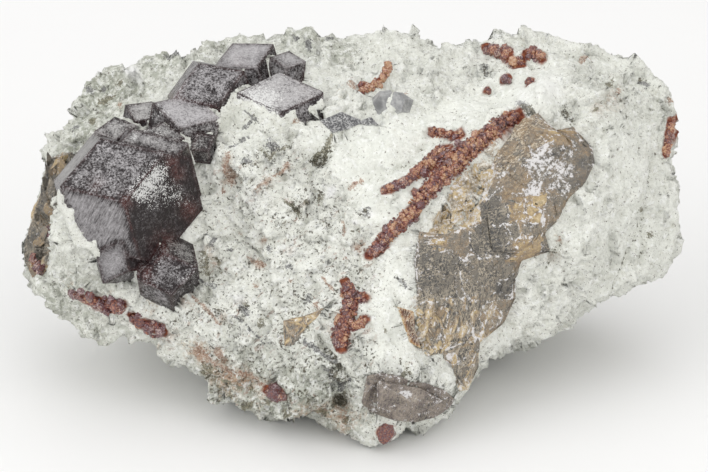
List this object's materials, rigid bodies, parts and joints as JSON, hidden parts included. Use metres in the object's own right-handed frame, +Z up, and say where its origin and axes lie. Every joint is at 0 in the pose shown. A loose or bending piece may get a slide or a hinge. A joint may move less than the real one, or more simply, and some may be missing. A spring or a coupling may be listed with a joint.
{
  "type": "garnet in matrix",
  "caption": "Mineral specimen: dark garnet crystals, strings of small red garnets and brown mica books set in a pale, blocky piece of altered rock with a flat foot.",
  "frame": {"origin": "a point on the flat foot, below the middle of the stone's length and a little in front of the middle of its depth", "axes": "+X along the stone's length, to the right as the show side is seen; +Y from the show side to the back; +Z up from the flat foot"},
  "size_m": [0.0872, 0.0495, 0.0424],
  "materials": {
    "altered_rock": "dull",
    "garnet_dark": "gloss",
    "garnet_red": "gloss",
    "garnet_grey": "gloss",
    "mica": "pearly"
  },
  "bodies": {
    "root": {"garnet_band_left": "garnet_red", "garnet_band_middle": "garnet_red", "garnet_cluster": "garnet_dark", "garnet_crust_islet": "garnet_red", "garnet_crust_long": "garnet_red", "garnet_crust_low": "garnet_red", "garnet_crust_summit": "garnet_red", "garnet_crust_upper": "garnet_red", "garnet_foot_left": "garnet_red", "garnet_grain_brown": "garnet_red", "garnet_grain_lilac": "garnet_red", "garnet_grain_red": "garnet_red", "garnet_pair_grey": "garnet_grey", "garnet_patch_right": "garnet_red", "garnet_sliver_grey": "garnet_grey", "garnet_tip_foot": "garnet_red", "matrix": "altered_rock", "mica_blade": "mica", "mica_book_large": "mica", "mica_book_low": "mica", "mica_flake_amber": "mica", "mica_rim_left": "mica"}
  },
  "joints": []
}
